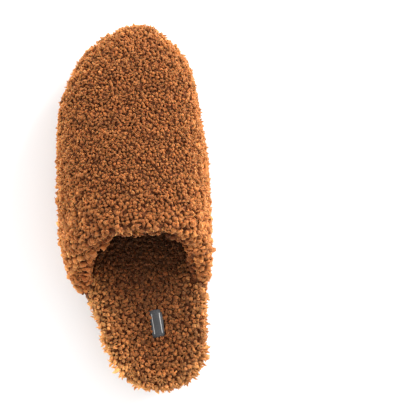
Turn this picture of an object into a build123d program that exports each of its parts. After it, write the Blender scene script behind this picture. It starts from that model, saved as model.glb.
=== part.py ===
"""A left sheepskin mule slipper, curly wool outside and inside, on a flexible sole.

Millimetres. +Z is up, +Y points to the toe and +X to the inner (big-toe) side.
The origin is the centre of the slipper's bounding box, on the ground.
"""

from build123d import *

import os

# --- Driving dimensions -------------------------------------------------------

# Sole stack, from the ground up: top face of each layer.
OUTSOLE_TOP = 6.0
MIDSOLE_TOP = 13.0
OUTER_MARGIN_TOP = 14.3
LINING_MARGIN_TOP = 15.5
BOARD_TOP = 17.5
CUSHION_TOP = 22.5
FOOTBED_TOP = 32.0

# How far each outline lies inside the sole's edge.
MIDSOLE_INSET = 0.8
BOARD_INSET = 7.0
LASTING_MARGIN = 18.0
HEEL_WOOL_OVERHANG = 7.5

# Upper: depth below the wool tips, and distance in from the sole's edge.
SKIN_DEPTH, SKIN_FOOT = 9.0, 3.5
STIFFENER_DEPTH, STIFFENER_FOOT = 10.2, 4.3
CAVITY_DEPTH, CAVITY_FOOT = 15.0, 7.0
WIDEST_Z = 34.0
RIDGE_SHIFT = 4.5
OUTER_FULLNESS = 0.44
INNER_FULLNESS = 0.64
CROWN_FULLNESS = 0.66
SIDE_FULLNESS = 0.45
TOE_PUFF_START = 92.0
STIFFENER_BOTTOM = 20.0

# Topline, the edge of the foot opening.
SEAM_DISTANCE = 6.0
TAPE_GAP = 9.5
TAPE_WIDTH = 6.0
STITCH_LENGTH = 4.2
STITCH_PITCH = 7.0
STITCH_DIAMETER = 1.0

# Rounding of the heel's wool.
HEEL_TOP_RADIUS = 7.0
HEEL_LOW_RADIUS = 5.0

# Tread.
TREAD_DEPTH = 1.6
TREAD_BORDER = 6.0
TREAD_PITCH = 9.0
TREAD_GROOVE = 2.2
TREAD_RISE = 2.5
TREAD_HALF_WAVE = 11.0
TREAD_ROWS = 28
WAIST = (-54.0, -20.0)

# Woven label on the heel of the footbed.
LABEL_CENTRE = (10.8, -86.3)
LABEL_TURN = 5.0
LABEL_LENGTH = 20.5
LABEL_WIDTH = 9.2
LABEL_THICKNESS = 0.7
LABEL_CORNER = 0.8
LABEL_STITCHES = 4
LABEL_STITCH_LENGTH = 1.4
LABEL_STITCH_DIAMETER = 0.5
LABEL_STITCH_INSET = 1.6

# The sole's outline, from the back of the heel round the inner side to the toe
# and back along the outer side.
SOLE_OUTLINE = [
    (8, -131),
    (27, -124.5),
    (37.5, -108),
    (40.5, -80),
    (43, -45),
    (47, 0),
    (47.5, 45),
    (44.5, 85),
    (34, 116),
    (10, 130),
    (-14, 121.5),
    (-33, 99),
    (-42.5, 70),
    (-46.5, 30),
    (-45.5, -12),
    (-38, -47),
    (-29, -80),
    (-20, -110),
    (-8, -126),
]

OUTLINE_POINTS = 32

# The vamp's table of offsets: station along Y, wool on the outer and inner side,
# sole on the outer and inner side, height of the crown, height of the lower edge.
VAMP_HEEL_END = -80.0
VAMP_TOE_END = 138.0
VAMP_HALF_WIDTH = 57.0
VAMP_STATIONS = [
    (-80, -34, 47, -29, 40.5, 92, 11),
    (-60, -47, 52, -34.5, 42, 92, 11),
    (-42, -54, 54, -39, 43.5, 91, 11),
    (-10, -57.5, 56, -45.5, 46, 87, 11),
    (30, -56.5, 57.5, -46.5, 48, 78, 11),
    (65, -53.5, 55, -43.5, 46.5, 68, 11),
    (90, -47, 53, -37.5, 43.5, 60, 11),
    (110, -36.5, 47, -25.5, 38, 52, 11),
    (124, -25, 37.5, -10, 26, 44, 12),
    (133, -10, 28.5, 1, 19, 37, 14.5),
    (138, 4, 20, 8, 16, 29, 19),
]

# Side view of the topline, from above the throat down to the sole.
TOPLINE_PROFILE = [
    (-16, 110),
    (-16.5, 86),
    (-21, 73),
    (-31, 59),
    (-44, 44),
    (-56, 32),
    (-66, 22),
    (-72, 10),
]
BEYOND = 400.0


# --- Outlines and solids that several pieces are cut from ---------------------


def sole_face(inset, height):
    """The sole's outline as a flat face, moved in by inset or out if negative."""
    edge = Spline(*SOLE_OUTLINE, periodic=True)
    spots = [k / OUTLINE_POINTS for k in range(OUTLINE_POINTS)]
    inward = [(edge % t).cross(Vector(0, 0, -1)) for t in spots]
    points = [(edge @ t) + n * inset for t, n in zip(spots, inward)]
    with BuildSketch(Plane.XY.offset(height)) as face:
        with BuildLine():
            Spline(*points, periodic=True)
        make_face()
    return face.sketch


def sole_layer(inset, bottom, top):
    """A flat layer of the sole's outline, moved in by inset or out if negative."""
    outline = sole_face(inset, bottom)
    with BuildPart() as layer:
        extrude(outline, amount=top - bottom)
    return layer.part


def vamp_form(depth, foot, floor):
    """The vamp's solid form, depth below the wool and foot in from the sole."""
    slim = 1 - depth / VAMP_HALF_WIDTH
    slim_foot = 1 - foot / VAMP_HALF_WIDTH
    squat = 1 - (depth + floor - MIDSOLE_TOP) / (VAMP_STATIONS[0][5] - MIDSOLE_TOP)
    shorten = 1 - depth / (VAMP_TOE_END - VAMP_HEEL_END)
    with BuildPart() as form:
        for y, wool_l, wool_r, sole_l, sole_r, crown, edge in VAMP_STATIONS:
            station = VAMP_HEEL_END + (y - VAMP_HEEL_END) * shorten
            middle = (wool_l + wool_r) / 2
            left = middle + (wool_l - middle) * slim
            right = middle + (wool_r - middle) * slim
            low_l = middle + (sole_l - middle) * slim_foot
            low_r = middle + (sole_r - middle) * slim_foot
            low = floor + (edge - MIDSOLE_TOP if depth == 0 else -2.0)
            top = floor + (crown - MIDSOLE_TOP) * squat
            side = min(WIDEST_Z, low + 0.45 * (top - low))
            rearness = (VAMP_TOE_END - y) / (VAMP_TOE_END - VAMP_HEEL_END)
            ridge = middle + RIDGE_SHIFT * rearness
            rise_l = OUTER_FULLNESS * (top - side)
            rise_r = INNER_FULLNESS * (top - side)
            reach_l = CROWN_FULLNESS * (ridge - left)
            reach_r = CROWN_FULLNESS * (right - ridge)
            drop = SIDE_FULLNESS * (side - low)
            with BuildSketch(Plane.XZ.offset(-station)):
                with BuildLine():
                    Bezier((low_l, low), (left, side - drop), (left, side))
                    Bezier(
                        (left, side),
                        (left, side + rise_l),
                        (ridge - reach_l, top),
                        (ridge, top),
                    )
                    Bezier(
                        (ridge, top),
                        (ridge + reach_r, top),
                        (right, side + rise_r),
                        (right, side),
                    )
                    Bezier((right, side), (right, side - drop), (low_r, low))
                    Line((low_r, low), (low_l, low))
                make_face()
        loft()
        split(bisect_by=Plane.XY.offset(floor), keep=Keep.TOP)
    return form.part


def behind_topline(forward):
    """All the space behind the topline, moved towards the toe by forward."""
    with BuildPart() as space:
        with BuildSketch(Plane.YZ.offset(-BEYOND / 2)):
            with BuildLine():
                edge = Spline(*[(y + forward, z) for y, z in TOPLINE_PROFILE])
                Polyline(
                    edge @ 1,
                    (TOPLINE_PROFILE[-1][0] + forward, 0),
                    (-BEYOND, 0),
                    (-BEYOND, TOPLINE_PROFILE[0][1]),
                    edge @ 0,
                )
            make_face()
        extrude(amount=BEYOND)
    return space.part


def slab(bottom, top, heelward=-BEYOND, toeward=BEYOND):
    """A flat layer of space between two heights and two stations."""
    with BuildPart() as space:
        with Locations((0, (heelward + toeward) / 2, (bottom + top) / 2)):
            Box(BEYOND, toeward - heelward, top - bottom)
    return space.part


def crossings(form, axis):
    """Where a straight line passes through the form's surface."""
    return [p for face in form.faces() for p, _ in face.find_intersection_points(axis)]


def seam_points():
    """Points along the topline seam, from the outer side over the throat."""
    rows = []
    for z in (27, 33, 40, 48, 56, 63, 69, 74, 77.5):
        y = topline_station(z) + SEAM_DISTANCE
        found = crossings(skin, Axis((-BEYOND, y, z), (1, 0, 0)))
        rows.append(sorted(found, key=lambda p: p.X))
    y = topline_station(85) + SEAM_DISTANCE
    up = Axis((RIDGE_SHIFT, y, -BEYOND), (0, 0, 1))
    crown = max(crossings(skin, up), key=lambda p: p.Z)
    return [r[0] for r in rows] + [crown] + [r[-1] for r in reversed(rows)]


def topline_station(height):
    """The topline's station along Y at a height."""
    edge = Spline(*TOPLINE_PROFILE)
    near, far = 0.0, 1.0
    for _ in range(30):
        middle = (near + far) / 2
        if (edge @ middle).Y > height:
            near = middle
        else:
            far = middle
    return (edge @ near).X


def stitch_group(path, count, length, diameter):
    """Separate short round stitches spaced evenly along a path."""
    with BuildPart() as group:
        for k in range(count):
            t = (k + 0.5) / count
            with BuildSketch(Plane(origin=path @ t, z_dir=path % t)):
                Circle(diameter / 2)
            extrude(amount=length / 2, both=True)
    return group.part


# --- Shared forms -------------------------------------------------------------

wool = vamp_form(0, 0, MIDSOLE_TOP)
skin = vamp_form(SKIN_DEPTH, SKIN_FOOT, OUTER_MARGIN_TOP)
stiffened = vamp_form(STIFFENER_DEPTH, STIFFENER_FOOT, OUTER_MARGIN_TOP + 0.4)
cavity = vamp_form(CAVITY_DEPTH, CAVITY_FOOT, LINING_MARGIN_TOP)
behind = behind_topline(0)
tape_zone = behind_topline(TAPE_GAP + TAPE_WIDTH) - behind_topline(TAPE_GAP)
between = (skin - stiffened) - slab(0, STIFFENER_BOTTOM)
tape_form = between & tape_zone
puff_form = between - slab(0, BEYOND, -BEYOND, TOE_PUFF_START)
seam = Spline(*seam_points())
seam_form = stitch_group(
    seam, int(seam.length / STITCH_PITCH), STITCH_LENGTH, STITCH_DIAMETER
)

# --- Outsole: rubber, zigzag tread at the ball and the heel, plain waist --------

outsole_form = sole_layer(0, 0, OUTSOLE_TOP)

tread_outline = sole_face(TREAD_BORDER, 0)

with BuildPart() as outsole:
    add(outsole_form)
    chamfer(outsole.edges().group_by(Axis.Z)[0], 0.8)
    with BuildSketch(Plane.XY) as tread:
        for row in range(TREAD_ROWS):
            y = (row - TREAD_ROWS / 2 + 0.5) * TREAD_PITCH
            if WAIST[0] < y < WAIST[1]:
                continue
            corners = [
                (i * TREAD_HALF_WAVE, y + (TREAD_RISE if i % 2 else -TREAD_RISE))
                for i in range(-5, 6)
            ]
            with BuildLine():
                Polyline(*corners)
            trace(line_width=TREAD_GROOVE)
        add(tread_outline, mode=Mode.INTERSECT)
    extrude(tread.sketch, amount=TREAD_DEPTH, mode=Mode.SUBTRACT)

# --- Midsole: soft foam, a little inside the outsole's edge ---------------------

midsole_form = sole_layer(MIDSOLE_INSET, OUTSOLE_TOP, MIDSOLE_TOP)

with BuildPart() as midsole_foam:
    add(midsole_form)

# --- Bottom filler: felt that levels the hollow between the lasting margins -----

filler_front = sole_layer(LASTING_MARGIN, MIDSOLE_TOP, LINING_MARGIN_TOP) - behind
filler_heel = sole_layer(BOARD_INSET, MIDSOLE_TOP, LINING_MARGIN_TOP) & behind

with BuildPart() as bottom_filler:
    add(filler_front)
    add(filler_heel, clean=False)

# --- Insole board, cushion and footbed fleece -----------------------------------

board_front = (cavity & slab(LINING_MARGIN_TOP, BOARD_TOP)) - behind
board_heel = sole_layer(BOARD_INSET, LINING_MARGIN_TOP, BOARD_TOP) & behind

with BuildPart() as insole_board:
    add(board_front)
    add(board_heel, clean=False)

cushion_front = (cavity & slab(BOARD_TOP, CUSHION_TOP)) - behind
cushion_heel = sole_layer(BOARD_INSET, BOARD_TOP, CUSHION_TOP) & behind

with BuildPart() as footbed_cushion:
    add(cushion_front)
    add(cushion_heel, clean=False)

heel_form = sole_layer(-HEEL_WOOL_OVERHANG, MIDSOLE_TOP, FOOTBED_TOP)

with BuildPart() as heel_pad:
    add(heel_form)
    fillet(heel_pad.edges().group_by(Axis.Z)[-1], HEEL_TOP_RADIUS)
    fillet(heel_pad.edges().group_by(Axis.Z)[0], HEEL_LOW_RADIUS)

heel_fleece = (heel_pad.part & behind) - sole_layer(BOARD_INSET, MIDSOLE_TOP, CUSHION_TOP)
front_fleece = (cavity & slab(CUSHION_TOP, FOOTBED_TOP)) - behind

with BuildPart() as footbed_sheepskin:
    add(heel_fleece)
    add(front_fleece, clean=False)

# --- Upper: curly sheepskin outside, softer sheepskin lining inside -------------

outer_margin_hole = sole_layer(LASTING_MARGIN, 0, OUTER_MARGIN_TOP)
lining_margin_hole = sole_layer(LASTING_MARGIN, 0, LINING_MARGIN_TOP)

with BuildPart() as upper_outer_sheepskin:
    add(wool)
    add(skin, mode=Mode.SUBTRACT)
    add(outer_margin_hole, mode=Mode.SUBTRACT)
    add(behind, mode=Mode.SUBTRACT)
    add(seam_form, mode=Mode.SUBTRACT)

with BuildPart() as upper_lining_sheepskin:
    add(skin)
    add(cavity, mode=Mode.SUBTRACT)
    add(lining_margin_hole, mode=Mode.SUBTRACT)
    add(behind, mode=Mode.SUBTRACT)
    add(tape_form, mode=Mode.SUBTRACT)
    add(puff_form, mode=Mode.SUBTRACT)
    add(seam_form, mode=Mode.SUBTRACT)

# --- Toe puff: thermoplastic sheet that keeps the toe's shape --------------------

with BuildPart() as toe_puff:
    add(puff_form)

# --- Topline: cotton tape between the two skins, and the seam that holds it ------

with BuildPart() as topline_tape:
    add(tape_form)

with BuildPart() as topline_stitches:
    add(seam_form)

# --- Woven label on the heel, with a row of stitches at each end -----------------

label_plane = Plane(
    origin=(LABEL_CENTRE[0], LABEL_CENTRE[1], FOOTBED_TOP),
    x_dir=Vector(1, 0, 0).rotate(Axis.Z, LABEL_TURN),
    z_dir=(0, 0, 1),
)

with BuildPart() as label_stitches:
    for end in (-1, 1):
        for k in range(LABEL_STITCHES):
            across = ((k + 0.5) / LABEL_STITCHES - 0.5) * LABEL_WIDTH
            along = end * (LABEL_LENGTH / 2 - LABEL_STITCH_INSET)
            spot = label_plane.from_local_coords((across, along, LABEL_THICKNESS))
            with BuildSketch(Plane(origin=spot, z_dir=label_plane.x_dir)):
                Circle(LABEL_STITCH_DIAMETER / 2)
            extrude(amount=LABEL_STITCH_LENGTH / 2, both=True)

with BuildPart() as label_woven:
    with BuildSketch(label_plane):
        RectangleRounded(LABEL_WIDTH, LABEL_LENGTH, LABEL_CORNER)
    extrude(amount=LABEL_THICKNESS)
    add(label_stitches.part, mode=Mode.SUBTRACT)

# --- Export ---------------------------------------------------------------------

os.makedirs("parts", exist_ok=True)

outsole.part.label = "outsole"
export_step(outsole.part, "parts/outsole.step")

midsole_foam.part.label = "midsole_foam"
export_step(midsole_foam.part, "parts/midsole_foam.step")

bottom_filler.part.label = "bottom_filler"
export_step(bottom_filler.part, "parts/bottom_filler.step")

insole_board.part.label = "insole_board"
export_step(insole_board.part, "parts/insole_board.step")

footbed_cushion.part.label = "footbed_cushion"
export_step(footbed_cushion.part, "parts/footbed_cushion.step")

footbed_sheepskin.part.label = "footbed_sheepskin"
export_step(footbed_sheepskin.part, "parts/footbed_sheepskin.step")

upper_outer_sheepskin.part.label = "upper_outer_sheepskin"
export_step(upper_outer_sheepskin.part, "parts/upper_outer_sheepskin.step")

upper_lining_sheepskin.part.label = "upper_lining_sheepskin"
export_step(upper_lining_sheepskin.part, "parts/upper_lining_sheepskin.step")

toe_puff.part.label = "toe_puff"
export_step(toe_puff.part, "parts/toe_puff.step")

topline_tape.part.label = "topline_tape"
export_step(topline_tape.part, "parts/topline_tape.step")

topline_stitches.part.label = "topline_stitches"
export_step(topline_stitches.part, "parts/topline_stitches.step")

label_woven.part.label = "label_woven"
export_step(label_woven.part, "parts/label_woven.step")

label_stitches.part.label = "label_stitches"
export_step(label_stitches.part, "parts/label_stitches.step")

for piece in (
    outsole,
    midsole_foam,
    bottom_filler,
    insole_board,
    footbed_cushion,
    footbed_sheepskin,
    upper_outer_sheepskin,
    upper_lining_sheepskin,
    toe_puff,
    topline_tape,
    topline_stitches,
    label_woven,
    label_stitches,
):
    solids = piece.part.solids()
    print(piece.part.label, len(solids), round(piece.part.volume), piece.part.is_valid)
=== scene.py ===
"""A fluffy left house slipper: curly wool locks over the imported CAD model.

Metres, in the CAD's frame: +Y to the toe, +Z up, +X to the inner side.
"""

import math

import bmesh
import bpy
import numpy as np
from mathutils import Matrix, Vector
from mathutils.bvhtree import BVHTree
from mathutils.kdtree import KDTree


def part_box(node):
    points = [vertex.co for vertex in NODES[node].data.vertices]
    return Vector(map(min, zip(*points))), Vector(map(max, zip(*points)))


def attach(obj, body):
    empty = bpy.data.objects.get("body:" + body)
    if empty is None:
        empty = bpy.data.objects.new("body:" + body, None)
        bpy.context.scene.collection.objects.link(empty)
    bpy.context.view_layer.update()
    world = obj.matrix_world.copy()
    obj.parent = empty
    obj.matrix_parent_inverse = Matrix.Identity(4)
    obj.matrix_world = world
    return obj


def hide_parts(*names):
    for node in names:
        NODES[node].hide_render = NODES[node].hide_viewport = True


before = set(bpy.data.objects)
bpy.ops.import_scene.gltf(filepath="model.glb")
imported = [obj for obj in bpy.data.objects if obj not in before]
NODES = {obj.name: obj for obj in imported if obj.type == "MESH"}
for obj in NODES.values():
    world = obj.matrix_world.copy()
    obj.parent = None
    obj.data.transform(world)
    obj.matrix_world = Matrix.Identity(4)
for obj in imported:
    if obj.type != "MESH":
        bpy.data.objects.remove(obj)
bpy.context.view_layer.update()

MM = 0.001
BODY = "root"
rng = np.random.default_rng(20)

# --- Meshes ---------------------------------------------------------------------


def mesh_arrays(mesh):
    """A mesh's vertices and triangles."""
    mesh.calc_loop_triangles()
    verts = np.empty(len(mesh.vertices) * 3, np.float32)
    mesh.vertices.foreach_get("co", verts)
    tris = np.empty(len(mesh.loop_triangles) * 3, np.int32)
    mesh.loop_triangles.foreach_get("vertices", tris)
    return verts.reshape(-1, 3).astype(float), tris.reshape(-1, 3)


def mesh_from(name, verts, faces, colours=None):
    """A smooth mesh from arrays; faces all have the same number of corners."""
    faces = np.asarray(faces, np.int32)
    mesh = bpy.data.meshes.new(name)
    mesh.vertices.add(len(verts))
    mesh.vertices.foreach_set("co", np.asarray(verts, np.float32).ravel())
    corners = faces.shape[1]
    mesh.loops.add(faces.size)
    mesh.loops.foreach_set("vertex_index", faces.ravel())
    mesh.polygons.add(len(faces))
    mesh.polygons.foreach_set("loop_start", np.arange(len(faces)) * corners)
    mesh.polygons.foreach_set("use_smooth", np.ones(len(faces), bool))
    mesh.update(calc_edges=True)
    if colours is not None:
        layer = mesh.color_attributes.new("wool", "FLOAT_COLOR", "POINT")
        rgba = np.ones((len(verts), 4), np.float32)
        rgba[:, :3] = colours
        layer.data.foreach_set("color", rgba.ravel())
    mesh.validate()
    return mesh


def add_object(name, mesh, material):
    """A new piece that rides on the slipper's one body."""
    obj = bpy.data.objects.new(name, mesh)
    bpy.context.scene.collection.objects.link(obj)
    mesh.materials.append(material)
    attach(obj, BODY)
    return obj


def vertex_normals(verts, tris):
    """Area-weighted normals, one for each vertex."""
    a, b, c = (verts[tris[:, k]] for k in range(3))
    face = np.cross(b - a, c - a)
    out = np.zeros_like(verts)
    for k in range(3):
        np.add.at(out, tris[:, k], face)
    return out / np.maximum(np.linalg.norm(out, axis=1, keepdims=True), 1e-12)


def relaxed(verts, tris, rounds, strength=0.5):
    """The vertices drawn towards their neighbours' mean, which rounds edges."""
    edges = np.vstack([tris[:, [0, 1]], tris[:, [1, 2]], tris[:, [2, 0]]])
    count = np.zeros(len(verts))
    np.add.at(count, edges[:, 0], 1)
    np.add.at(count, edges[:, 1], 1)
    for _ in range(rounds):
        total = np.zeros_like(verts)
        np.add.at(total, edges[:, 0], verts[edges[:, 1]])
        np.add.at(total, edges[:, 1], verts[edges[:, 0]])
        verts = verts + strength * (total / count[:, None] - verts)
    return verts


def ramp(value, start, end):
    """0 up to start, 1 from end on, and an even slope between them."""
    return np.clip((value - start) / (end - start), 0, 1)


# Smooth noise adds up this many sine waves, which seldom sum to more than the peak.
LUMP_WAVES = 10
LUMP_PEAK = 3.2


def lumps(points, size, seed):
    """Smooth noise between about -1 and 1 at each point, in lumps of that size."""
    local = np.random.default_rng(seed)
    total = np.zeros(len(points))
    for _ in range(LUMP_WAVES):
        way = local.normal(size=3)
        way *= local.uniform(0.7, 1.4) * 2 * math.pi / size / np.linalg.norm(way)
        total += np.sin(points @ way + local.uniform(0, 2 * math.pi))
    return total / LUMP_PEAK


def joined_nodes(names):
    """The vertices and triangles of several CAD nodes together."""
    verts, tris, start = [], [], 0
    for name in names:
        v, t = mesh_arrays(NODES[name].data)
        verts.append(v)
        tris.append(t + start)
        start += len(v)
    return np.vstack(verts), np.vstack(tris)


def gaps_to(points, names):
    """Each point's distance to the nearest of the named CAD nodes."""
    verts, tris = joined_nodes(names)
    tree = BVHTree.FromPolygons(verts.tolist(), tris.tolist(), all_triangles=True)
    return np.array([tree.find_nearest(Vector(p))[3] or 0.0 for p in points.tolist()])


VOXEL = 1.5 * MM
# A fleece touches another node up to the first gap, and is clear of it from the second.
TOUCHING, CLEAR = 0.3 * MM, 2.0 * MM


def fleece_base(nodes, others, depth, rounds, swell):
    """The matted wool under the locks: the nodes' outer skin, rounded and drawn in.

    swell(points, normals) gives how far to push the wool out again, in metres.

    Returns vertices, triangles and, for each vertex, 0 where the fleece touches
    the other nodes and 1 where it is clear of them.
    """
    verts, tris = joined_nodes(nodes)
    holder = bpy.data.objects.new("holder", mesh_from("holder", verts, tris))
    bpy.context.scene.collection.objects.link(holder)
    remesh = holder.modifiers.new("remesh", "REMESH")
    remesh.mode = "VOXEL"
    remesh.voxel_size = VOXEL
    bpy.context.view_layer.update()
    seen = holder.evaluated_get(bpy.context.evaluated_depsgraph_get())
    verts, tris = mesh_arrays(seen.to_mesh())
    seen.to_mesh_clear()
    bpy.data.objects.remove(holder)
    bare = ramp(gaps_to(verts, others), TOUCHING, CLEAR)
    smooth = relaxed(verts, tris, rounds)
    verts = verts + (smooth - verts) * bare[:, None]
    normals = vertex_normals(verts, tris)
    drop = depth * (1 + 0.25 * lumps(verts, 4 * MM, 5) + 0.30 * lumps(verts, 9 * MM, 7))
    drop -= swell(verts, normals)
    drop *= bare
    return verts - normals * drop[:, None], tris, bare


def scattered(verts, tris, weight, spacing, tries):
    """Points spread over a surface, no closer than spacing(point) allows.

    Returns the points and their normals. weight is 0 on vertices with no wool.
    """
    normals = vertex_normals(verts, tris)
    a, b, c = (verts[tris[:, k]] for k in range(3))
    area = np.linalg.norm(np.cross(b - a, c - a), axis=1)
    area *= weight[tris].min(axis=1) > 0.5
    pick = rng.choice(len(tris), tries, p=area / area.sum())
    u = rng.random((tries, 2))
    flip = u.sum(axis=1) > 1
    u[flip] = 1 - u[flip]
    w = np.column_stack([1 - u.sum(axis=1), u])
    points = np.einsum("nk,nkd->nd", w, verts[tris[pick]])
    ways = np.einsum("nk,nkd->nd", w, normals[tris[pick]])
    ways /= np.linalg.norm(ways, axis=1, keepdims=True)
    gaps = spacing(points)
    cell = gaps.max()
    keys = np.floor(points / cell).astype(int)
    grid, kept = {}, []
    near = (-1, 0, 1)
    around = [(i, j, k) for i in near for j in near for k in near]
    place = points.tolist()
    for n, (key, gap) in enumerate(zip(keys.tolist(), gaps.tolist())):
        x, y, z = place[n]
        clear = True
        for i, j, k in around:
            for m in grid.get((key[0] + i, key[1] + j, key[2] + k), ()):
                p = place[m]
                d = (p[0] - x) ** 2 + (p[1] - y) ** 2 + (p[2] - z) ** 2
                if d < gap * gap:
                    clear = False
                    break
            if not clear:
                break
        if clear:
            grid.setdefault(tuple(key), []).append(n)
            kept.append(n)
    return points[kept], ways[kept]


# --- Locks of wool ----------------------------------------------------------------


def lock(path, radii, sides, lobes=0, twist=0.0, depth=0.0):
    """A tapered tube along a path, with twisted lobes like a bundle of fibres.

    Returns vertices, triangles and each vertex's place from root (0) to tip (1).
    """
    count = len(path)
    tangent = np.gradient(path, axis=0)
    tangent /= np.linalg.norm(tangent, axis=1, keepdims=True)
    side = np.cross(tangent[0], [0.31, 0.89, 0.11])
    verts, place = [], []
    for k in range(count):
        side = side - tangent[k] * (side @ tangent[k])
        side /= np.linalg.norm(side)
        other = np.cross(tangent[k], side)
        angle = np.arange(sides) * 2 * math.pi / sides
        bulge = 1 + depth * np.cos(lobes * angle + twist * k / (count - 1))
        ring = np.cos(angle)[:, None] * side + np.sin(angle)[:, None] * other
        verts.append(path[k] + radii[k] * bulge[:, None] * ring)
        place += [k / (count - 1)] * sides
    verts = np.vstack(verts + [path[-1:] + tangent[-1:] * radii[-1] * 0.6])
    place.append(1.0)
    tris = []
    for k in range(count - 1):
        for s in range(sides):
            a, b = k * sides + s, k * sides + (s + 1) % sides
            tris += [(a, b, b + sides), (a, b + sides, a + sides)]
    top = (count - 1) * sides
    tris += [(top + s, top + (s + 1) % sides, count * sides) for s in range(sides)]
    return verts, np.array(tris), np.array(place)


def curl(seed):
    """A lock that rises, bends over in a C or an S and dives back. About 1 long."""
    local = np.random.default_rng(seed)
    t = np.linspace(0, 1, 9)
    turn = local.uniform(2.2, 5.0)
    heading = turn * (t - 0.5)
    if local.random() < 0.35:
        heading = turn * 1.3 * (t - 0.5) ** 2 * np.sign(t - 0.5)
    step = np.column_stack([np.cos(heading), np.sin(heading)]) / 6.4
    flat = np.vstack([[0, 0], np.cumsum(step[:-1], axis=0)])
    flat -= flat.mean(axis=0)
    rise = local.uniform(0.62, 0.95) * np.sin(math.pi * (0.06 + 0.86 * t)) - 0.22
    rise += 0.07 * np.sin(9 * t + local.uniform(0, 6))
    path = np.column_stack([flat, rise])
    radii = local.uniform(0.20, 0.27) * (0.50 + 0.60 * np.sin(math.pi * t) ** 0.6)
    return lock(path, radii, 7, lobes=2, twist=8.0, depth=0.30)


def ringlet(seed):
    """A tight curl: one to two turns, closing at the tip. About 1 wide and high."""
    local = np.random.default_rng(seed)
    t = np.linspace(0, 1, 13)
    turns = local.uniform(1.1, 1.8) * local.choice([-1, 1])
    spread = 0.34 * (0.55 + 0.45 * np.sin(math.pi * (0.15 + 0.75 * t)))
    spread *= 1 - 0.45 * t**3
    phase = 2 * math.pi * turns * t + local.uniform(0, 2 * math.pi)
    rise = 0.95 * t**0.9 - 0.22 * np.clip(t - 0.7, 0, 1) ** 1.2
    path = np.column_stack(
        [
            spread * np.cos(phase) * local.uniform(0.8, 1.2),
            spread * np.sin(phase) * local.uniform(0.8, 1.2),
            rise - 0.12,
        ]
    )
    radii = 0.165 * (0.85 + 0.35 * np.sin(math.pi * t) - 0.50 * t**4)
    return lock(path, radii, 6, lobes=2, twist=9.0, depth=0.25)


def clump(seed):
    """A soft pebble of felted fibres with twisted grooves. About 1 wide and high."""
    local = np.random.default_rng(seed)
    t = np.linspace(0, 1, 7)
    bend = local.uniform(0.05, 0.45)
    path = np.column_stack(
        [
            bend * t**1.6 + 0.05 * np.sin(5 * t),
            0.12 * np.sin(3.4 * t + local.uniform(0, 6)),
            0.85 * t**0.85 - 0.15,
        ]
    )
    wide = local.uniform(0.38, 0.50)
    radii = wide * np.sqrt(np.clip(1 - (2 * (t * 0.93) - 0.86) ** 2 / 1.12, 0.02, 1))
    twist = local.uniform(3.5, 6.5) * local.choice([-1, 1])
    return lock(path, radii, 9, lobes=3, twist=twist, depth=0.34)


def tuft(seed):
    """A tapered lock with a wave, for the wool's edge. About 1 high."""
    local = np.random.default_rng(seed)
    t = np.linspace(0, 1, 8)
    sway, phase = local.uniform(0.06, 0.16), local.uniform(0, 6.28)
    path = np.column_stack(
        [
            sway * (np.sin(6 * t + phase) - math.sin(phase)),
            sway * (np.cos(5 * t + phase) - math.cos(phase)),
            t - 0.12,
        ]
    )
    radii = 0.19 * (1 - t**1.8) ** 0.8 * (1 + 0.25 * np.sin(8 * t + phase)) + 0.012
    return lock(path, radii, 6, lobes=2, twist=6.0, depth=0.28)


VARIANTS = 12
SHAPES = {
    "curl": [curl(500 + k) for k in range(VARIANTS)],
    "ringlet": [ringlet(100 + k) for k in range(VARIANTS)],
    "clump": [clump(200 + k) for k in range(VARIANTS)],
    "tuft": [tuft(300 + k) for k in range(VARIANTS)],
}

# Wool's linear colours from a lock's root to its tip.
ROOT_COLOUR = np.array([0.100, 0.0258, 0.0060])
BODY_COLOUR = np.array([0.208, 0.063, 0.0150])
TIP_COLOUR = np.array([0.285, 0.095, 0.0240])


def wool_colour(place, light, warmth):
    """The colour along a lock, with its own lightness and warmth."""
    low = ramp(place, 0, 0.5)[..., None]
    high = ramp(place, 0.45, 1)[..., None]
    colour = ROOT_COLOUR * (1 - low) + BODY_COLOUR * low
    colour = colour * (1 - high) + TIP_COLOUR * high
    tint = np.stack([np.ones_like(warmth), 1 - 0.5 * warmth, 1 - warmth], axis=-1)
    return colour * light[..., None] * tint


def grown(kind, points, ways, lean, sizes, widths, light, pale):
    """Locks of one kind on all the points, as vertices, triangles and colours.

    light scales a lock's colour, and pale takes its warmth away.
    """
    count = len(points)
    axis = ways + lean
    axis /= np.linalg.norm(axis, axis=1, keepdims=True)
    across = np.cross(axis, rng.normal(size=(count, 3)))
    across /= np.linalg.norm(across, axis=1, keepdims=True)
    over = np.cross(axis, across)
    which = rng.integers(0, VARIANTS, count)
    warmth = rng.normal(0, 0.06, count) - pale
    verts, tris, colours, start = [], [], [], 0
    for k in range(VARIANTS):
        chosen = np.flatnonzero(which == k)
        if not len(chosen):
            continue
        shape, faces, place = SHAPES[kind][k]
        size = sizes[chosen][:, None, None]
        wide = widths[chosen][:, None, None]
        made = points[chosen][:, None, :]
        made = made + shape[None, :, 0:1] * wide * across[chosen][:, None, :]
        made = made + shape[None, :, 1:2] * wide * over[chosen][:, None, :]
        made = made + shape[None, :, 2:3] * size * axis[chosen][:, None, :]
        verts.append(made.reshape(-1, 3))
        steps = start + np.arange(len(chosen)) * len(shape)
        tris.append((faces[None] + steps[:, None, None]).reshape(-1, 3))
        start += made.shape[0] * made.shape[1]
        shade = wool_colour(
            np.broadcast_to(place, (len(chosen), len(place))),
            light[chosen][:, None] * np.ones(len(place)),
            warmth[chosen][:, None] * np.ones(len(place)),
        )
        colours.append(shade.reshape(-1, 3))
    return np.vstack(verts), np.vstack(tris), np.vstack(colours)


MOST_TRIANGLES = 185000


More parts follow.
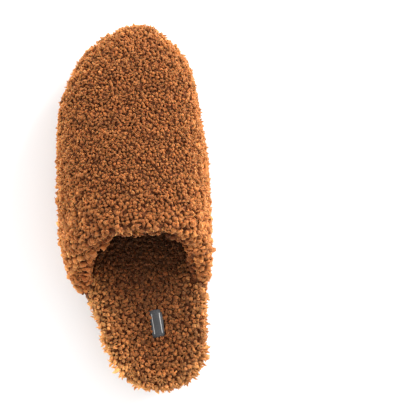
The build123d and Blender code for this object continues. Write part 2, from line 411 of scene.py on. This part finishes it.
def wool_pieces(name, groups, nodes):
    """Joins groups of locks into pieces that stay under the triangle limit."""
    verts, tris, colours, start = [], [], [], 0
    for v, t, c in groups:
        verts.append(v)
        tris.append(t + start)
        colours.append(c)
        start += len(v)
    verts, tris = np.vstack(verts), np.vstack(tris)
    colours = np.vstack(colours)
    parts = math.ceil(len(tris) / MOST_TRIANGLES)
    edges = np.linspace(0, len(tris), parts + 1).astype(int)
    for k in range(parts):
        lo, hi = edges[k], edges[k + 1]
        used, flat = np.unique(tris[lo:hi], return_inverse=True)
        faces = flat.reshape(-1, 3)
        label = name if parts == 1 else f"{name}_{k + 1}"
        mesh = mesh_from(label, verts[used], faces, colours[used])
        obj = add_object(label, mesh, wool)
        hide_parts(*nodes)


# The label's place and size: a strip of woven cloth, turned a little. Its length is
# the part that shows, and each end is folded under.
LABEL_LOW, LABEL_HIGH = (np.array(c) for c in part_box("label_woven"))
LABEL_CENTRE = (LABEL_LOW + LABEL_HIGH) / 2
LABEL_TURN = math.radians(5)
LABEL_LONG = np.array([-math.sin(LABEL_TURN), math.cos(LABEL_TURN), 0])
LABEL_WIDE = np.array([math.cos(LABEL_TURN), math.sin(LABEL_TURN), 0])
LABEL_LENGTH = 20.5 * MM
LABEL_CLOTH = 10.0 * MM
LABEL_FOLD = 2.4 * MM

# --- Materials --------------------------------------------------------------------


def new_material(name):
    """A new material, its nodes, its links and its shader."""
    mat = bpy.data.materials.new(name)
    mat.use_nodes = True
    nodes = mat.node_tree.nodes
    return mat, nodes, mat.node_tree.links, nodes["Principled BSDF"]


def wool_material(name, painted):
    """Wool with fine fibres, in each lock's painted colour or the roots' colour."""
    mat, nodes, links, shader = new_material(name)
    shader.inputs["Roughness"].default_value = 0.85
    shader.inputs["Specular IOR Level"].default_value = 0.18
    shader.inputs["Sheen Weight"].default_value = 0.35
    shader.inputs["Sheen Roughness"].default_value = 0.40
    shader.inputs["Sheen Tint"].default_value = (1.0, 0.55, 0.28, 1)
    shader.inputs["Subsurface Weight"].default_value = 0.35
    shader.inputs["Subsurface Radius"].default_value = (1.0, 0.42, 0.20)
    shader.inputs["Subsurface Scale"].default_value = 1.1 * MM
    coords = nodes.new("ShaderNodeTexCoord")
    # Swirling bands about half a millimetre apart: the fibres in a lock.
    fibre = nodes.new("ShaderNodeTexWave")
    fibre.inputs["Scale"].default_value = 700
    fibre.inputs["Distortion"].default_value = 14
    fibre.inputs["Detail"].default_value = 2
    fibre.inputs["Detail Scale"].default_value = 0.7
    links.new(coords.outputs["Object"], fibre.inputs["Vector"])
    mottle = nodes.new("ShaderNodeTexNoise")
    mottle.inputs["Scale"].default_value = 420
    mottle.inputs["Detail"].default_value = 2
    links.new(coords.outputs["Object"], mottle.inputs["Vector"])
    tone = nodes.new("ShaderNodeMath")
    tone.operation = "ADD"
    links.new(fibre.outputs["Fac"], tone.inputs[0])
    links.new(mottle.outputs["Fac"], tone.inputs[1])
    depth = nodes.new("ShaderNodeMapRange")
    depth.inputs["From Min"].default_value = 0.4
    depth.inputs["From Max"].default_value = 1.5
    depth.inputs["To Min"].default_value = 0.62
    depth.inputs["To Max"].default_value = 1.30
    links.new(tone.outputs[0], depth.inputs["Value"])
    scaled = nodes.new("ShaderNodeVectorMath")
    scaled.operation = "SCALE"
    if painted:
        source = nodes.new("ShaderNodeAttribute")
        source.attribute_name = "wool"
        links.new(source.outputs["Color"], scaled.inputs[0])
    else:
        scaled.inputs[0].default_value = ROOT_COLOUR
    links.new(depth.outputs[0], scaled.inputs["Scale"])
    links.new(scaled.outputs[0], shader.inputs["Base Color"])
    bump = nodes.new("ShaderNodeBump")
    bump.inputs["Strength"].default_value = 0.8
    bump.inputs["Distance"].default_value = 0.12 * MM
    links.new(fibre.outputs["Fac"], bump.inputs["Height"])
    links.new(bump.outputs[0], shader.inputs["Normal"])
    return mat


wool = wool_material("wool_locks", True)
undercoat = wool_material("wool_undercoat", False)


def noise(nodes, links, scale, detail=3.0):
    """Noise in the object's own coordinates."""
    coords = nodes.new("ShaderNodeTexCoord")
    made = nodes.new("ShaderNodeTexNoise")
    made.inputs["Scale"].default_value = scale
    made.inputs["Detail"].default_value = detail
    links.new(coords.outputs["Object"], made.inputs["Vector"])
    return made.outputs["Fac"]


def stripes(nodes, links, turn, per_metre, axis="X"):
    """Even bands across one axis, turned about Z."""
    coords = nodes.new("ShaderNodeTexCoord")
    mapping = nodes.new("ShaderNodeMapping")
    mapping.inputs["Rotation"].default_value = (0, 0, turn)
    bands = nodes.new("ShaderNodeTexWave")
    bands.bands_direction = axis
    bands.inputs["Scale"].default_value = per_metre * math.pi / 10
    links.new(coords.outputs["Object"], mapping.inputs["Vector"])
    links.new(mapping.outputs["Vector"], bands.inputs["Vector"])
    return bands.outputs["Fac"]


def maths(nodes, links, operation, a, *numbers):
    """One Math operation on a shader value and plain numbers or another value."""
    made = nodes.new("ShaderNodeMath")
    made.operation = operation
    links.new(a, made.inputs[0])
    for k, number in enumerate(numbers, 1):
        if isinstance(number, float):
            made.inputs[k].default_value = number
        else:
            links.new(number, made.inputs[k])
    return made.outputs[0]


def surface(name, dark, pale, pattern, roughness, relief, sheen):
    """A material that runs from dark to pale with its pattern, in relief.

    pattern(nodes, links) gives a value from 0 to 1, and relief is in metres.
    """
    mat, nodes, links, shader = new_material(name)
    value = pattern(nodes, links)
    mix = nodes.new("ShaderNodeMix")
    mix.data_type = "RGBA"
    mix.inputs["A"].default_value = (*dark, 1)
    mix.inputs["B"].default_value = (*pale, 1)
    links.new(value, mix.inputs["Factor"])
    links.new(mix.outputs["Result"], shader.inputs["Base Color"])
    bump = nodes.new("ShaderNodeBump")
    bump.inputs["Strength"].default_value = 0.6
    bump.inputs["Distance"].default_value = relief
    links.new(value, bump.inputs["Height"])
    links.new(bump.outputs[0], shader.inputs["Normal"])
    shader.inputs["Roughness"].default_value = roughness
    shader.inputs["Sheen Weight"].default_value = sheen
    return mat


def grain(scale, detail=4.0):
    """A pattern of plain noise."""
    return lambda nodes, links: noise(nodes, links, scale, detail)


def foam_cells(scale):
    """A pattern of small round cells."""

    def pattern(nodes, links):
        coords = nodes.new("ShaderNodeTexCoord")
        cells = nodes.new("ShaderNodeTexVoronoi")
        cells.inputs["Scale"].default_value = scale
        links.new(coords.outputs["Object"], cells.inputs["Vector"])
        return cells.outputs["Distance"]

    return pattern


def weave(threads, turn=0.0):
    """A pattern of crossing threads, so many to the metre."""

    def pattern(nodes, links):
        warp = stripes(nodes, links, turn, threads, "X")
        weft = stripes(nodes, links, turn, threads, "Y")
        cloth = maths(nodes, links, "MULTIPLY", warp, weft)
        fuzz = noise(nodes, links, threads * 0.6)
        return maths(nodes, links, "MULTIPLY", cloth, fuzz)

    return pattern


# The label's stripes: how far from its middle, half their width, and half their length.
STRIPE_OFF, STRIPE_HALF, STRIPE_REACH = 2.9 * MM, 0.28 * MM, 7.6 * MM


def label_pattern(nodes, links):
    """A fine weave with one pale stripe woven in along each side."""
    coords = nodes.new("ShaderNodeTexCoord")
    mapping = nodes.new("ShaderNodeMapping")
    mapping.vector_type = "TEXTURE"
    mapping.inputs["Location"].default_value = LABEL_CENTRE
    mapping.inputs["Rotation"].default_value = (0, 0, LABEL_TURN)
    links.new(coords.outputs["Object"], mapping.inputs["Vector"])
    split = nodes.new("ShaderNodeSeparateXYZ")
    links.new(mapping.outputs["Vector"], split.inputs[0])
    off = maths(nodes, links, "ABSOLUTE", split.outputs["X"])
    stripe = maths(nodes, links, "COMPARE", off, STRIPE_OFF, STRIPE_HALF)
    reach = maths(nodes, links, "ABSOLUTE", split.outputs["Y"])
    inside = maths(nodes, links, "LESS_THAN", reach, STRIPE_REACH)
    woven_in = maths(nodes, links, "MULTIPLY", stripe, inside)
    cloth = weave(1300, -LABEL_TURN)(nodes, links)
    faint = maths(nodes, links, "MULTIPLY", cloth, 0.30)
    bright = maths(nodes, links, "ADD", faint, woven_in)
    return maths(nodes, links, "MINIMUM", bright, 1.0)


# Name, dark colour, pale colour, pattern, roughness, relief in mm, and sheen.
FINISHES = {
    "label_cloth": (
        "label_weave",
        (0.016, 0.016, 0.018),
        (0.30, 0.29, 0.28),
        label_pattern,
        (0.80, 0.06, 0.1),
    ),
    "label_thread": (
        "label_thread",
        (0.02, 0.02, 0.022),
        (0.07, 0.07, 0.075),
        grain(3000),
        (0.70, 0.05, 0.0),
    ),
    "outsole": (
        "rubber",
        (0.020, 0.011, 0.007),
        (0.036, 0.020, 0.012),
        grain(1400),
        (0.62, 0.10, 0.0),
    ),
    "midsole_foam": (
        "sole_foam",
        (0.17, 0.075, 0.030),
        (0.25, 0.115, 0.048),
        grain(900),
        (0.75, 0.12, 0.0),
    ),
    "bottom_filler": (
        "felt",
        (0.10, 0.085, 0.065),
        (0.22, 0.19, 0.15),
        grain(1800, 8),
        (0.95, 0.25, 0.3),
    ),
    "insole_board": (
        "fibre_board",
        (0.17, 0.09, 0.04),
        (0.30, 0.17, 0.08),
        grain(600, 8),
        (0.85, 0.06, 0.0),
    ),
    "footbed_cushion": (
        "cushion_foam",
        (0.52, 0.45, 0.31),
        (0.80, 0.72, 0.54),
        foam_cells(900),
        (0.90, 0.20, 0.0),
    ),
    "toe_puff": (
        "stiffener_sheet",
        (0.45, 0.43, 0.36),
        (0.66, 0.63, 0.55),
        weave(1400),
        (0.70, 0.06, 0.0),
    ),
    "topline_tape": (
        "cotton_tape",
        (0.32, 0.26, 0.17),
        (0.66, 0.58, 0.44),
        weave(1600),
        (0.85, 0.12, 0.2),
    ),
    "topline_stitches": (
        "seam_thread",
        (0.10, 0.040, 0.014),
        (0.24, 0.105, 0.040),
        grain(2400),
        (0.70, 0.08, 0.0),
    ),
}
MADE = {
    key: surface(name, dark, pale, pattern, rough, relief * MM, sheen)
    for key, (name, dark, pale, pattern, (rough, relief, sheen)) in FINISHES.items()
}
label_cloth, label_thread = MADE.pop("label_cloth"), MADE.pop("label_thread")
for node, finish in MADE.items():
    for held in NODES[node].material_slots:
        held.material = finish

# --- Fleeces ----------------------------------------------------------------------

OUTER, LINING = "upper_outer_sheepskin", "upper_lining_sheepskin"
UPPER = [OUTER, LINING, "toe_puff", "topline_tape", "topline_stitches"]
FOOTBED = "footbed_sheepskin"
SOLE = ["midsole_foam", "bottom_filler", "insole_board", "footbed_cushion"]


def under_label(points):
    """True for the wool that the label presses down."""
    off = points - LABEL_CENTRE
    along = abs(off @ LABEL_LONG) < LABEL_LENGTH / 2 - 0.2 * MM
    return along & (abs(off @ LABEL_WIDE) < 3.9 * MM)


def leaning(ways, wander, down):
    """A lean away from the surface's normal: downwards and at random."""
    pull = np.zeros((len(ways), 3)) + [0, 0, -down]
    pull += rng.normal(0, wander, (len(ways), 3))
    return pull - ways * np.einsum("nd,nd->n", pull, ways)[:, None]


# The shares below take their limits in mm, in the slipper's own frame.


def throat_nearness(points):
    """1 at the topline's upper edge, 0 well ahead of it."""
    return ramp(points[:, 1] / MM, 26, -16) ** 1.5


def throat_fringe(points, ways):
    """1 where the wool curls into the foot opening on the outer side, else 0."""
    x, y, z = (points / MM).T
    into = ramp(ways[:, 0], -0.25, 0.35)
    along = ramp(y, -14, -22) * ramp(y, -66, -54)
    return into * along * ramp(x, -12, -22) * ramp(z, 30, 38)


def throat_lip(points, ways):
    """1 on the edge that faces the heel at the top of the foot opening, else 0."""
    x, _, z = (points / MM).T
    return ramp(-ways[:, 1], 0.1, 0.7) * ramp(abs(x - 2), 40, 20) * ramp(z, 50, 60)


def facing(points, ways, axis, start, sign):
    """1 where wool past a line (in mm) faces out along an axis, 0 on top or inside."""
    past = ramp(sign * (points[:, axis] / MM - start), 0, 15)
    return past * np.clip(sign * ways[:, axis], 0, 1) * ramp(ways[:, 2], 1.1, 0.1)


def side_height(points):
    """1 on the sides' upper part, where the locks carry the most painted light, less
    below.
    """
    return np.maximum(ramp(points[:, 2] / MM, 12, 28), 0.25)


def upper_swell(points, ways):
    """How far the upper's wool stands out past its usual depth, in metres."""
    into = 3.4 * throat_fringe(points, ways) - 3.2 * throat_lip(points, ways)
    back = ramp(points[:, 1] / MM, -45, -60)
    drawn = (2.2 + 4.8 * back) * facing(points, ways, 0, 0, -1)
    drawn += 0.2 * facing(points, ways, 1, 80, 1)
    return MM * (into - drawn)


def heel_swell(points, ways):
    """The heel's sides are drawn in, because the fringe there is long."""
    back = ramp(points[:, 1] / MM, -105, -117)
    drawn = 3.6 * facing(points, ways, 0, 0, -1)
    drawn += (1.6 - 3.0 * back) * facing(points, ways, 0, 16, 1)
    drawn += 2.6 * facing(points, ways, 1, -100, -1) * np.clip(1 - ways[:, 0], 0, 1)
    return MM * -drawn


def wool_cover(verts, bare):
    """1 on the vertices that carry locks, which reach further down at the heel."""
    at_heel = verts[:, 1] < -25 * MM
    return np.where(at_heel, bare > 0.05, bare > 0.5).astype(float)


def grow_mix(locks, shares):
    """Locks of several kinds, each with its share of the points.

    locks holds what grown takes after the kind, from the points to the paleness.
    """
    draw = rng.random(len(locks[0]))
    groups, low = [], 0.0
    for kind, share in shares:
        chosen = (draw >= low) & (draw < low + share)
        low += share
        groups.append(grown(kind, *(values[chosen] for values in locks)))
    return groups


def add_undercoat(name, verts, tris, nodes):
    """The matted wool that the locks grow from, as a piece of its own."""
    base = add_object(name, mesh_from(name, verts, tris), undercoat)
    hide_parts(*nodes)


def upper_spacing(points):
    """The gap between locks: small on the vamp, larger at the throat."""
    return (1.80 + 0.70 * throat_nearness(points)) * MM


def on_outside(points, ways, seam):
    """True for the outer sheepskin's wool, False for the lining's.

    seam says which of the two the wool at equal distance from both belongs to.
    """
    outer, lining = gaps_to(points, [OUTER]), gaps_to(points, [LINING])
    nearer = (outer < lining) | (seam & (outer == lining))
    return nearer | (points[:, 0] * ways[:, 0] >= 4 * MM)


def lit_inside(points, ways):
    """1 on the lining that shows beside the heel and at the throat, else 0."""
    _, y, z = (points / MM).T
    top_edge = 0.8 * ramp(z, 36, 50) * ramp(y, -20, -30)
    return np.maximum.reduce([ramp(y, -46, -60), top_edge, throat_fringe(points, ways)])


def upper_locks(points, ways, outside):
    """The lean, length, width, lightness and paleness of the upper's locks.

    Away from the vamp's top they get longer. Where they face sideways they carry
    painted
    light: lighter and paler, less so on the inner side, and near the throat a little
    lighter.
    On the vamp they are short and painted dark along the partings between clumps, as
    painted shade.
    """
    count = len(points)
    near = throat_nearness(points)
    fringe = throat_fringe(points, ways)
    upright = np.clip(ways[:, 2], 0, 1)
    inward = np.clip(ways[:, 0], 0, 1)
    # rim: how far a lock on the outer sheepskin faces sideways; it drives the painted
    # light on the sides.
    rim = (1 - upright) ** 1.15 * (1 - throat_lip(points, ways)) * outside
    rim *= side_height(points)
    parting = np.clip(-lumps(points, 9 * MM, 31) - 0.75, 0, 1) * upright
    size = (2.6 + 1.5 * near + 1.6 * fringe + 0.9 * rim) * MM
    size *= 1 + 0.20 * lumps(points, 7 * MM, 11)
    size *= rng.uniform(0.80, 1.20, count) * (1 - 0.45 * parting)
    wide = (2.7 + 1.4 * near + 0.8 * fringe) * rng.uniform(0.85, 1.15, count) * MM
    wide *= 1 + 0.30 * np.clip(1 - 1.6 * upright, 0, 1) * outside
    light = rng.uniform(0.90, 1.10, count) * (1 + 0.08 * lumps(points, 16 * MM, 3))
    # Painted light: sideways locks are painted up to 2.75 times lighter, less on the
    # inner side and low down; locks near the throat a little lighter.
    light *= 1 + (1.75 - 0.80 * inward) * rim + 0.10 * near
    # Painted shade: the locks along the partings between clumps are painted darker.
    light *= 1 - 0.40 * parting
    # The painted light on the sides is also painted paler.
    pale = (0.68 - 0.28 * inward) * rim
    return [leaning(ways, 0.30, 0.20), size, wide, light, pale]


def upper_hairs(verts, tris, seen):
    """Tufts that stand off the sides and the toe."""
    normals = vertex_normals(verts, tris)
    edge = seen * (normals[:, 2] < 0.75)
    points, ways = scattered(verts, tris, edge, even(2.1 * MM), 24000)
    keep = on_outside(points, ways, False)
    points, ways = points[keep], ways[keep]
    count = len(points)
    size = rng.uniform(3.0, 5.0, count) * (1 + 0.2 * lumps(points, 8 * MM, 17)) * MM
    rim = (1 - np.clip(ways[:, 2], 0, 1)) ** 1.5 * side_height(points)
    inward = np.clip(ways[:, 0], 0, 1)
    lean = leaning(ways, 0.35, 0.15)
    # Painted light: the side tufts are painted lighter and paler the more they face
    # sideways, less on the inner side and low down.
    light = rng.uniform(0.9, 1.2, count) * (1 + (1.3 - 0.8 * inward) * rim)
    pale = 0.10 + (0.60 - 0.25 * inward) * rim
    return grown("tuft", points, ways, lean, size, 1.2 * size, light, pale)


def even(gap):
    """The same spacing everywhere."""
    return lambda points: np.full(len(points), gap)


VAMP_MIX = (("clump", 0.42), ("curl", 0.45), ("ringlet", 0.13))
LINING_MIX = (("clump", 0.4), ("curl", 0.3), ("ringlet", 0.3))
FOOTBED_MIX = (("ringlet", 0.40), ("curl", 0.25), ("clump", 0.35))


def dress_upper():
    """Wool on the outer sheepskin and on the lining, over one undercoat."""
    base = fleece_base(UPPER, SOLE + [FOOTBED], 2.0 * MM, 8, upper_swell)
    verts, tris, bare = base
    add_undercoat("upper_undercoat", verts, tris, [OUTER, LINING])
    seen = wool_cover(verts, bare)
    points, ways = scattered(verts, tris, seen, upper_spacing, 110000)
    outside = on_outside(points, ways, True)
    lean, size, wide, light, pale = upper_locks(points, ways, outside)
    locks = (points, ways, lean, size, wide, light, pale)
    groups = grow_mix([values[outside] for values in locks], VAMP_MIX)
    groups.append(upper_hairs(verts, tris, seen))
    wool_pieces("vamp_wool", groups, [OUTER])
    # The lining is painted darker and redder, the more so where no light falls.
    within = ~outside & (points[:, 1] < 75 * MM)
    shown = lit_inside(points, ways)
    light = light * (0.34 + 0.95 * shown)
    locks = (points, ways, lean, size, 1.1 * wide, light, 0.55 * shown - 0.58)
    groups = grow_mix([values[within] for values in locks], LINING_MIX)
    wool_pieces("lining_wool", groups, [LINING])


def heel_rim(points, edge_points):
    """1 at the footbed's outer edge, falling to 0 well inside it."""
    tree = KDTree(len(edge_points))
    for k, p in enumerate(edge_points.tolist()):
        tree.insert(p, k)
    tree.balance()
    gap = np.array([tree.find(p)[2] for p in points.tolist()])
    return np.exp(-((gap / (9 * MM)) ** 1.3))


# How light the footbed's wool is painted, against the vamp's 1, by distance in mm
# behind the slipper's middle: it copies the shade under the vamp.
FOOTBED_PLACES = (10, 30, 50, 70, 90, 110)
FOOTBED_LIGHT = (0.19, 0.29, 0.48, 0.60, 0.72, 0.78)


def sideways(points):
    """From -1 on the footbed's outer side to 1 on its inner side."""
    return np.clip((points[:, 0] / MM - 8) / 22, -1, 1)


def footbed_locks(points, ways, rim):
    """The footbed locks' lean, length, width, lightness and paleness: painted shade
    under the vamp, painted light at the edge.
    """
    count = len(points)
    inward = sideways(points)
    depth = ramp(points[:, 1] / MM, -75, -5)
    size = (3.5 + 0.8 * rim) * rng.uniform(0.75, 1.25, count) * MM
    wide = rng.uniform(2.9, 3.9, count) * MM
    # Painted shade: darker toward and under the vamp, from FOOTBED_LIGHT. Painted
    # light: lighter at the edge, less on the inner side.
    bright = np.interp(-points[:, 1] / MM, FOOTBED_PLACES, FOOTBED_LIGHT)
    bright += (1.10 - 0.50 * inward) * rim
    light = rng.uniform(0.60, 1.40, count) * bright
    # Painted light makes the edge paler; painted shade makes the wool redder toward the
    # vamp.
    pale = (0.80 - 0.20 * inward) * rim - 0.10 - 0.45 * depth
    return [leaning(ways, 0.30, 0.0), size, wide, light, pale]


def heel_fringe(verts, tris, edge):
    """Long tufts that stand off the footbed's edge."""
    points, ways = scattered(verts, tris, edge, even(1.6 * MM), 24000)
    count = len(points)
    size = rng.uniform(3.6, 7.0, count) * (1 + 0.40 * lumps(points, 8 * MM, 23)) * MM
    inward = sideways(points)
    high = np.maximum(ramp(points[:, 2] / MM, 10, 18), 0.45)
    lean = leaning(ways, 0.30, 0.10)
    # Painted light: the fringe is painted two to three times lighter and paler, less on
    # the inner side, and about half as much low down.
    light = rng.uniform(2.0, 3.1, count) * (1 - 0.22 * inward) * high
    pale = (rng.uniform(0.45, 0.80, count) + 0.10 - 0.15 * inward) * high
    return grown("tuft", points, ways, lean, size, 1.1 * size, light, pale)


def dress_footbed():
    """Wool on the footbed, clear of the label, with a fringe round the heel."""
    base = fleece_base([FOOTBED], UPPER + SOLE, 2.4 * MM, 7, heel_swell)
    verts, tris, bare = base
    add_undercoat("footbed_undercoat", verts, tris, [FOOTBED])
    seen = wool_cover(verts, bare) * (verts[:, 1] < 60 * MM)
    points, ways = scattered(verts, tris, seen, even(2.15 * MM), 60000)
    normals = vertex_normals(verts, tris)
    upright = normals[:, 2]
    rim = heel_rim(points, verts[(abs(upright) < 0.3) & (verts[:, 1] < -50 * MM)])
    locks = [points, ways] + footbed_locks(points, ways, rim)
    clear = ~under_label(points)
    groups = grow_mix([values[clear] for values in locks], FOOTBED_MIX)
    groups.append(heel_fringe(verts, tris, seen * (upright < 0.6)))
    wool_pieces("footbed_wool", groups, [FOOTBED])


dress_upper()
dress_footbed()

# --- Label ------------------------------------------------------------------------


def label_surface(along, across):
    """The cloth's top at a place on the label: bowed over the wool, ends drawn down."""
    end = along / (LABEL_LENGTH / 2)
    side = across / (LABEL_CLOTH / 2)
    rise = 0.9 * MM - 1.5 * MM * side**2 - 1.3 * MM * np.abs(end) ** 3
    rise += 0.25 * MM * np.sin(3.1 * end + 1.9 * side) + 0.12 * MM * np.sin(7 * end)
    wide = across * 0.92 + 0.25 * MM * np.sin(2.2 * end + 0.6)
    place = along[..., None] * LABEL_LONG + wide[..., None] * LABEL_WIDE
    place[..., 2] += rise
    return LABEL_CENTRE + place


def dress_label():
    """A woven strip with both ends folded under and held by four stitches each."""
    bend, gap, thick = 0.45 * MM, 0.9 * MM, 0.22 * MM
    tab_rows, top_rows, columns = 5, 31, 15
    half = LABEL_LENGTH / 2 - bend
    tab = np.linspace(half - LABEL_FOLD, half, tab_rows)
    curve = np.linspace(-math.pi / 2, math.pi / 2, 7)[1:-1]
    top = np.linspace(half, -half, top_rows)
    # Along the strip: place from the middle, and depth below the top face.
    along = np.concatenate([tab, half + bend * np.cos(curve), top])
    along = np.concatenate([along, -(half + bend * np.cos(curve[::-1])), -tab[::-1]])
    depth = np.concatenate(
        [
            np.full(tab_rows, gap),
            gap / 2 * (1 - np.sin(curve)),
            np.zeros(top_rows),
            gap / 2 * (1 - np.sin(curve[::-1])),
            np.full(tab_rows, gap),
        ]
    )
    across = np.linspace(-LABEL_CLOTH / 2, LABEL_CLOTH / 2, columns)
    rows = len(along)
    place = label_surface(
        np.repeat(along[:, None], columns, 1), np.repeat(across[None], rows, 0)
    )
    place[..., 2] -= depth[:, None]
    up = np.cross(np.gradient(place, axis=1), np.gradient(place, axis=0))
    up *= thick / 2 / np.linalg.norm(up, axis=2, keepdims=True)
    verts = np.vstack([(place + up).reshape(-1, 3), (place - up).reshape(-1, 3)])
    number = np.arange(rows * columns).reshape(rows, columns)
    a, b = number[:-1, :-1].ravel(), number[:-1, 1:].ravel()
    c, d = number[1:, 1:].ravel(), number[1:, :-1].ravel()
    other = rows * columns
    faces = [np.column_stack([a, b, c, d]), np.column_stack([d, c, b, a]) + other]
    ring = np.concatenate(
        [number[0], number[1:, -1], number[-1, -2::-1], number[-2:0:-1, 0]]
    )
    after = np.roll(ring, -1)
    faces.append(np.column_stack([after, ring, ring + other, after + other]))
    label = add_object(
        "label_cloth", mesh_from("label_cloth", verts, np.vstack(faces)), label_cloth
    )
    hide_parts("label_woven")
    stitches, threads, start = [], [], 0
    steps, half_stitch = 9, 0.9
    for end in (-1, 1):
        for middle in (-3.3, -1.1, 1.1, 3.3):
            reach = np.linspace(-half_stitch, half_stitch, steps)
            row = np.full(steps, end * (LABEL_LENGTH / 2 - 1.7 * MM))
            line = label_surface(row, (middle + reach) * MM)
            line[:, 2] += (0.30 - 0.75 * np.abs(reach) ** 3) * MM
            radii = np.full(steps, 0.20 * MM)
            v, t, _ = lock(line, radii, 8, lobes=3, twist=9.0, depth=0.12)
            stitches.append(v)
            threads.append(t + start)
            start += len(v)
    mesh = mesh_from("label_thread", np.vstack(stitches), np.vstack(threads))
    sewn = add_object("label_thread", mesh, label_thread)
    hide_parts("label_stitches")


dress_label()

# --- Stage ------------------------------------------------------------------------

FLOOR_REACH = 4

floor_mesh = bpy.data.meshes.new("floor")
shape = bmesh.new()
bmesh.ops.create_grid(shape, x_segments=1, y_segments=1, size=FLOOR_REACH)
shape.to_mesh(floor_mesh)
shape.free()
floor = bpy.data.objects.new("floor", floor_mesh)
bpy.context.scene.collection.objects.link(floor)
paper, _, _, paper_shader = new_material("floor_paper")
paper_shader.inputs["Base Color"].default_value = (0.86, 0.86, 0.86, 1)
paper_shader.inputs["Roughness"].default_value = 0.9
floor_mesh.materials.append(paper)

# The studio is a light tent: brightest low down all round, dimmer overhead.
SKY_LOW, SKY_HIGH, SKY_RISE = 2.7, 0.74, 0.85

world = bpy.data.worlds.new("studio")
bpy.context.scene.world = world
world.use_nodes = True
sky = world.node_tree.nodes
way = sky.new("ShaderNodeTexCoord")
split = sky.new("ShaderNodeSeparateXYZ")
world.node_tree.links.new(way.outputs["Generated"], split.inputs[0])
rise = sky.new("ShaderNodeMapRange")
rise.inputs["From Min"].default_value = 0.0
rise.inputs["From Max"].default_value = SKY_RISE
rise.inputs["To Min"].default_value = SKY_LOW
rise.inputs["To Max"].default_value = SKY_HIGH
world.node_tree.links.new(split.outputs["Z"], rise.inputs["Value"])
sky["Background"].inputs["Color"].default_value = (1, 1, 1, 1)
world.node_tree.links.new(rise.outputs[0], sky["Background"].inputs["Strength"])


def area_light(name, place, size, power):
    """A round soft light that points at the slipper."""
    data = bpy.data.lights.new(name, "AREA")
    data.shape = "DISK"
    data.size = size
    data.energy = power
    lamp = bpy.data.objects.new(name, data)
    lamp.location = place
    lamp.rotation_euler = (-Vector(place)).to_track_quat("-Z", "Y").to_euler()
    bpy.context.scene.collection.objects.link(lamp)


area_light("key", (1.50, 0.95, 0.80), 1.4, 66)
area_light("fill", (-1.3, 0.3, 0.9), 1.0, 8)

# --- Camera -----------------------------------------------------------------------

# The camera looks straight down. The view is as wide as given at the wool's height.
CAMERA_HEIGHT = 1.30
VIEW_CENTRE = (0.0558, -0.0029)
VIEW_ROLL = -math.radians(4.5)
VIEW_WIDTH = 0.312
WOOL_HEIGHT = 0.033
SENSOR_WIDTH = 36

camera_data = bpy.data.cameras.new("camera")
camera_data.sensor_width = SENSOR_WIDTH
camera_data.lens = SENSOR_WIDTH * (CAMERA_HEIGHT - WOOL_HEIGHT) / VIEW_WIDTH
camera = bpy.data.objects.new("camera", camera_data)
camera.location = (*VIEW_CENTRE, CAMERA_HEIGHT)
camera.rotation_euler = (0, 0, VIEW_ROLL)
bpy.context.scene.collection.objects.link(camera)
bpy.context.scene.camera = camera
bpy.context.scene.view_settings.view_transform = "Standard"
